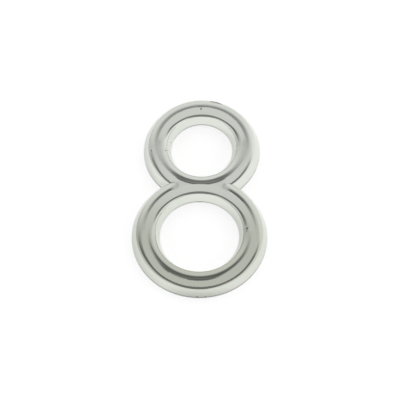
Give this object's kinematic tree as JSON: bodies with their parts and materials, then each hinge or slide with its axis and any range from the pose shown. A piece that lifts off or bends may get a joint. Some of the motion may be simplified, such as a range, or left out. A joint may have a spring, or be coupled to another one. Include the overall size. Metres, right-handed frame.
{
  "type": "self-adhesive house number",
  "caption": "Chrome-plated house number in the form of a figure 8 with a low rounded front, held on a door or wall by an adhesive foam pad set into its back.",
  "frame": {"origin": "middle of the figure's width and height, on the adhesive face of the pad", "axes": "+Z out of the front of the numeral, away from the door; +Y towards the head of the figure; +X to the right of someone reading it"},
  "size_m": [0.0358, 0.0598, 0.0036],
  "materials": {
    "chrome_plate": "polished bright plating, with a few small plating specks",
    "foam": "matt closed-cell foam with an adhesive face"
  },
  "bodies": {
    "root": {"numeral": "chrome_plate", "adhesive_pad": "foam"}
  },
  "joints": []
}
